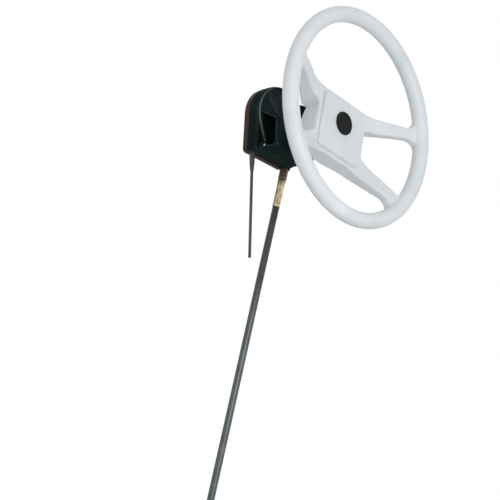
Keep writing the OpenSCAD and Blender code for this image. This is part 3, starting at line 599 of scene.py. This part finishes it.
# Round boss that the housing's nose stands on, as radius and distance
bossFacts = {"profile": ((19.5, 72.5), (38.5, 72.5), (38.5, 82.0), (36.5, 84.0), (19.5, 84.0))}


def noseBoss(facts):
    return turnedPiece("noseBoss", facts["profile"], origin, alongShaft, sides=96, closed=True)


# Moulded and sawn pieces: voxel size of the new skin in mm, and how many rounds of softening
mouldedFacts = {
    "steering_wheel": dict(name="wheelMoulding", skin=1.35, rounds=26, slot="wheel_plastic", body="wheel"),
    "hub_cover": dict(name="hubPad", skin=0.8, rounds=8, slot="wheel_plastic", body="wheel"),
    "front_housing": dict(name="frontHousing", skin=0.9, rounds=3, slot="housing_plastic",
                          body="helm_body"),
    "rear_casing": dict(name="drumCasing", skin=0.8, rounds=3, slot="housing_plastic", body="helm_body"),
    # The drum cover's finish carries a strong painted highlight along its rim
    "drum_cover": dict(name="drumCover", skin=0.7, rounds=6, slot="housing_plastic", body="helm_body",
                       finish="paintedRimNylon"),
    "mounting_pad": dict(name="backPad", skin=0.9, rounds=6, slot="pad_wood", body="helm_body"),
    "coil_ties": dict(name="coilTies", skin=0.4, rounds=2, slot="tie_plastic", body="helm_body"),
}
# Tools that shape two of them further
mouldTools = {
    "steering_wheel": (("DIFFERENCE", wheelOpenings(wheelFacts)), ("UNION", wheelRim(wheelFacts)),
                       ("UNION", hubBack(wheelFacts)), ("DIFFERENCE", hubRecess(wheelFacts))),
    "front_housing": (("UNION", noseBoss(bossFacts)),),
}
pieces = {}
for node, facts in mouldedFacts.items():
    piece = mouldedCopy(node, facts["name"], facts["skin"], facts["rounds"], mouldTools.get(node, ()))
    pieces[node] = fit(piece, facts["slot"], facts["body"], node, finish=facts.get("finish"))
    print("moulded", facts["name"], len(piece.data.polygons), "faces")

# Round bare cap at the middle of the wheel: a raised edge round a shallow dish.
# The edge is given as distances in from the cap's side and down from its top
capFacts = {
    "front": 163.0, "radius": 18.0, "skirt": 16.0, "skirtBack": 159.4, "skirtIn": 13.6, "top": 166.0,
    "clear": 0.02, "edge": ((0, 0.9), (1.4, 0), (3.2, 0.1), (4.2, 0.9)), "dish": 0.5, "ease": 0.7,
}


def makeCap(facts):
    front = facts["front"]
    under = front + facts["clear"]
    edge = [(facts["radius"] - inwards, facts["top"] - down) for inwards, down in facts["edge"]]
    profile = easeCorners([
        (facts["skirtIn"], front - facts["clear"]), (facts["skirtIn"], facts["skirtBack"]),
        (facts["skirt"], facts["skirtBack"]), (facts["skirt"], under), (facts["radius"], under),
        *edge, (0, facts["top"] - facts["dish"]),
    ], facts["ease"])
    low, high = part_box("centre_cap")
    middle = ((low[0] + high[0]) / 2, 0, (low[2] + high[2]) / 2)
    return turnedPiece("hubCap", [(0, front)] + profile, middle, alongShaft, sides=96)


fit(makeCap(capFacts), "cap_plastic", "wheel", "centre_cap")

# Sleeve nut under the right port. Its groove is given as depth and distance from the port, and its
# rounded end as distances in and back
inletFacts = {
    "length": 18.0, "radius": 6.8, "bore": 2.1, "spigot": 4.0, "spigotLength": 5.9, "ease": 0.5,
    "groove": ((0, 11.0), (0.5, 11.6), (0.5, 12.6), (0, 13.2)), "tip": ((0.1, 1.2), (1.1, 0)),
}


def makeInletNut(facts):
    top = portEnd - facts["spigotLength"]
    end = portEnd + facts["length"]
    groove = [(facts["radius"] - deep, portEnd + along) for deep, along in facts["groove"]]
    tip = [(facts["radius"] - inwards, end - back) for inwards, back in facts["tip"]]
    profile = easeCorners([
        (facts["bore"], top), (facts["spigot"], top), (facts["spigot"], portEnd),
        (facts["radius"], portEnd), *groove, *tip, (facts["bore"], end),
    ], facts["ease"])
    return turnedPiece("inletNut", profile, alongPort(1, 0), rightWay, sides=64, closed=True)


# Ferrules crimped on both ends of the cable, and what they share
ferruleShared = {"bore": 2.1, "top": 6.3, "neck": 5.4, "flat": 0.94, "rows": 76, "blend": 2.5,
                 "edgeIn": 0.4, "edgeDown": 0.2}
ferruleFacts = ferruleShared | {"name": "cableFerrule", "length": 49.5, "taper": 0.3,
                                "swage": (5.0, 45.0), "socket": 5.55, "socketFrom": 38.0}
outputFacts = ferruleShared | {"name": "outputFerrule", "length": 45.0, "taper": 0.0,
                               "swage": (10.0, 34.0)}


# Ferrule from a distance along a line, swaged on the cable to six long flats
def makeFerrule(facts, top, start, way):
    first, last = facts["swage"]

    def swaged(radius, distance, angle):
        if radius < facts["neck"]:
            return radius, distance
        inside = min(distance - top - first, top + last - distance)
        share = min(1.0, max(0.0, inside / facts["blend"]))
        flat = hexSide(radius * facts["flat"], angle)
        return radius + (min(flat, radius) - radius) * share, distance

    end = top + facts["length"]
    rows = facts["rows"]
    sideTop = top + facts["edgeDown"]
    sideLong = facts["length"] - facts["edgeDown"] - facts["edgeIn"]
    profile = [(facts["bore"], top), (facts["top"] - facts["edgeIn"], top)]
    profile += [(facts["top"] - facts["taper"] * i / rows, sideTop + sideLong * i / rows)
                for i in range(rows + 1)]
    if "socket" in facts:
        floor = top + facts["socketFrom"]
        profile += [(facts["socket"], end), (facts["socket"], floor), (facts["bore"], floor)]
    else:
        profile += [(facts["top"] - facts["taper"] - facts["edgeIn"], end), (facts["bore"], end)]
    return turnedPiece(facts["name"], profile, start, way, sides=72, shape=swaged, closed=True)


fit(makeInletNut(inletFacts), "yellow_zinc", "helm_body", "inlet_nut")
fit(makeFerrule(ferruleFacts, portEnd + inletFacts["length"], alongPort(1, 0), rightWay),
    "yellow_zinc", "helm_body", "cable_ferrule")

# Collar and thin closed tube under the left port. The collar's side is given as radius and distance
# from the port, and the rings drawn into the tube as depth and distance from their middle
spentFacts = {
    "collar": 29.0, "collarSide": ((4.3, 0.2), (4.1, 15.0), (3.5, 22.0)), "collarTip": 2.8, "ease": 0.6,
    "spigot": 4.0, "spigotLength": 5.9, "slack": 0.05, "tube": 2.3, "bore": 1.9, "length": 137.0,
    "rings": (0.32, 0.62), "ring": ((0, -1.0), (0.18, -0.4), (0.18, 0.4), (0, 1.0)),
    "tipIn": 0.5, "tipBack": 0.6, "plug": 2.0,
}


def makeCollar(facts):
    top = portEnd - facts["spigotLength"]
    end = portEnd + facts["collar"]
    hole = facts["tube"] + facts["slack"]
    profile = easeCorners([
        (hole, top), (facts["spigot"], top), (facts["spigot"], portEnd),
        *[(radius, portEnd + along) for radius, along in facts["collarSide"]],
        (facts["collarTip"], end), (hole, end),
    ], facts["ease"])
    return turnedPiece("tubeCollar", profile, alongPort(-1, 0), leftWay, sides=48, closed=True)


def makeSpentTube(facts):
    top = portEnd - facts["spigotLength"]
    end = portEnd + facts["collar"] + facts["length"]
    plug = end - facts["plug"]
    profile = [(facts["bore"], top), (facts["tube"], top)]
    for share in facts["rings"]:
        middle = top + (end - top) * share
        profile += [(facts["tube"] - deep, middle + along) for deep, along in facts["ring"]]
    profile += [(facts["tube"], end - facts["tipBack"]), (facts["tube"] - facts["tipIn"], end), (0, end),
                (0, plug), (facts["bore"], plug)]
    return turnedPiece("spentTube", profile, alongPort(-1, 0), leftWay, sides=40, closed=True)


fit(makeCollar(spentFacts), "grey_plastic", "helm_body", "spent_collar")
fit(makeSpentTube(spentFacts), "tube_grey", "helm_body", "spent_tube")
print("fittings turned")

# Pan-head screws that hold the housing, each with a cross recess.
# An arm of the cross has half its width at the floor and at the top
screwFacts = {
    "x": 32.0, "z": -31.0, "tip": 4.0, "point": 2.0, "shank": 2.0, "seat": 36.0, "head": 4.3,
    "side": 1.5, "dome": 1.7, "rows": 30, "armFloor": 0.47, "armTop": 0.67, "reach": 2.3, "deep": 1.5,
    "shallow": 0.7,
}


def makeScrew(facts, side):
    top = facts["seat"] + facts["side"]
    crown = top + facts["dome"]

    # The recess is two crossed slots that grow shallow outwards
    def recessed(radius, distance, angle):
        if distance <= top or radius > facts["reach"]:
            return radius, distance
        arm = min(abs(radius * math.cos(angle)), abs(radius * math.sin(angle)))
        share = min(1.0, max(0.0, (facts["armTop"] - arm) / (facts["armTop"] - facts["armFloor"])))
        deep = facts["deep"] * (1 - radius / facts["reach"] * facts["shallow"])
        return radius, distance - deep * share

    profile = [(0, facts["tip"]), (facts["shank"], facts["tip"] + facts["point"]),
               (facts["shank"], facts["seat"]), (facts["head"], facts["seat"]), (facts["head"], top)]
    for i in range(1, facts["rows"]):
        share = 1 - i / facts["rows"]
        profile.append((facts["head"] * share, crown - facts["dome"] * share ** 3))
    profile.append((0, crown - facts["deep"]))
    place = (side * facts["x"] * mm, 0, facts["z"] * mm)
    name = "housingScrewRight" if side > 0 else "housingScrewLeft"
    return turnedPiece(name, profile, place, alongShaft, sides=72, shape=recessed)


for side in (-1, 1):
    fit(makeScrew(screwFacts, side), "zinc_steel", "helm_body", "casing_screws")

# Hexagon nuts with chamfered corners, and what they share
nutShared = {"face": 0.96, "slope": 0.6, "boreEdge": 0.6}
nutFacts = {
    "axle_nut": dict(name="axleNut", flats=16.0, bore=5.05, back=34.0, long=8.0, start=(0, 0, 27.0),
                     way=alongShaft, zero=(1, 0, 0), slot="zinc_steel", body="helm_body"),
    "wheel_nut": dict(name="wheelNut", flats=19.0, bore=6.25, back=151.6, long=6.2, start=origin,
                      way=alongShaft, zero=(1, 0, 0), slot="zinc_steel", body="wheel"),
    "output_nut": dict(name="outputNut", flats=24.0, bore=4.8, back=outputFacts["length"], long=26.0,
                       start=cableEnd / mm, way=(1, 0, 0), zero=(0, 0, 1), slot="stainless",
                       body="helm_body"),
}


def makeNut(facts):
    half = facts["flats"] / 2
    corner = half / math.cos(math.pi / 6)
    face = half * facts["face"]
    rise = (corner - face) * facts["slope"]
    bore = facts["bore"]
    edge = facts["boreEdge"]
    back = facts["back"]
    end = back + facts["long"]

    def hexed(radius, distance, angle):
        return min(radius, hexSide(half, angle)), distance

    profile = [(bore, back + edge), (bore + edge, back), (face, back), (corner, back + rise),
               (corner, end - rise), (face, end), (bore + edge, end), (bore, end - edge)]
    start = Vector(facts["start"]) * mm
    return turnedPiece(facts["name"], profile, start, facts["way"], sides=72, shape=hexed, closed=True,
                       zero=facts["zero"], smooth=False)


for node, facts in nutFacts.items():
    pieces[node] = fit(makeNut(nutShared | facts), facts["slot"], facts["body"], node)

# Output end of the cable: its crimped ferrule; the guide tube, the ram and its eye stay as built
outputFerrule = makeFerrule(outputFacts, 0.0, cableEnd, (1, 0, 0))
fit(outputFerrule, "yellow_zinc", "helm_body", "output_ferrule")
onCable = [pieces["coil_ties"], pieces["output_nut"], outputFerrule]
onCable += [frame["nodes"][name] for name in ("guide_tube", "output_ram", "ram_end")]
print("fasteners and output end made")

# Floor and world
stageFacts = {"floor": -1.3, "size": 14.0, "colour": "#e6e6e6", "roughness": 0.8}
worldFacts = {"colour": "#ffffff", "light": 0.61, "seen": 1.0}


def makeStage(facts):
    half = facts["size"] / 2
    mesh = bpy.data.meshes.new("floor")
    corners = [(-half, -half), (half, -half), (half, half), (-half, half)]
    mesh.from_pydata([(x, y, facts["floor"]) for x, y in corners], [], [(0, 1, 2, 3)])
    floor = link("floor", mesh, smooth=False)
    material, tree = newMaterial("paleFloor")
    endMaterial(tree, {"Base Color": linear(facts["colour"]), "Roughness": facts["roughness"]}, {})
    mesh.materials.append(material)


# White to the camera and in reflections, plain grey as light
def makeWorld(facts):
    world = bpy.data.worlds.new("studio")
    bpy.context.scene.world = world
    world.use_nodes = True
    tree = world.node_tree
    tree.nodes.clear()
    path = add(tree, "ShaderNodeLightPath")
    seen = add(tree, "ShaderNodeMath", operation="MAXIMUM",
               links={0: path.outputs["Is Camera Ray"], 1: path.outputs["Is Glossy Ray"]})
    through = add(tree, "ShaderNodeMath", operation="MAXIMUM",
                  links={0: seen.outputs[0], 1: path.outputs["Is Transmission Ray"]})
    colour = linear(facts["colour"])
    plain = add(tree, "ShaderNodeBackground", {"Color": colour, "Strength": facts["light"]})
    white = add(tree, "ShaderNodeBackground", {"Color": colour, "Strength": facts["seen"]})
    mixed = add(tree, "ShaderNodeMixShader",
                links={0: through.outputs[0], 1: plain.outputs[0], 2: white.outputs[0]})
    add(tree, "ShaderNodeOutputWorld", links={"Surface": mixed.outputs[0]})


helmMiddle = (0, -0.1, 0)
lampFacts = {
    "key": {"place": (-1.6, -1.4, 1.6), "aim": helmMiddle, "size": 0.2, "power": 1.4},
    "front": {"place": (-0.6, -2.2, -0.6), "aim": helmMiddle, "size": 0.5, "power": 15.0},
    "low": {"place": (-1.8, -0.6, -0.8), "aim": helmMiddle, "size": 0.4, "power": 3.5},
    # A narrow lamp for the sheen along the cable, clear of the wheel
    "cableLamp": {"place": (-0.75, -1.87, 0.6), "aim": (-0.018, -0.017, -0.47), "cone": 12.5,
                  "size": 0.12, "power": 130.0},
}


# A lamp with a cone is a spot, and any other is an area
def makeLamp(name, facts):
    if "cone" in facts:
        data = bpy.data.lights.new(name, "SPOT")
        data.spot_size = math.radians(facts["cone"])
        data.spot_blend = 1.0
        data.shadow_soft_size = facts["size"] / 2
    else:
        data = bpy.data.lights.new(name, "AREA")
        data.size = facts["size"]
    data.energy = facts["power"]
    lamp = bpy.data.objects.new(name, data)
    lamp.location = facts["place"]
    lamp.rotation_euler = (Vector(facts["aim"]) - lamp.location).to_track_quat("-Z", "Y").to_euler()
    collection.objects.link(lamp)


makeStage(stageFacts)
makeWorld(worldFacts)
for name, facts in lampFacts.items():
    makeLamp(name, facts)
bpy.context.scene.view_settings.view_transform = "Standard"
print("stage lit")
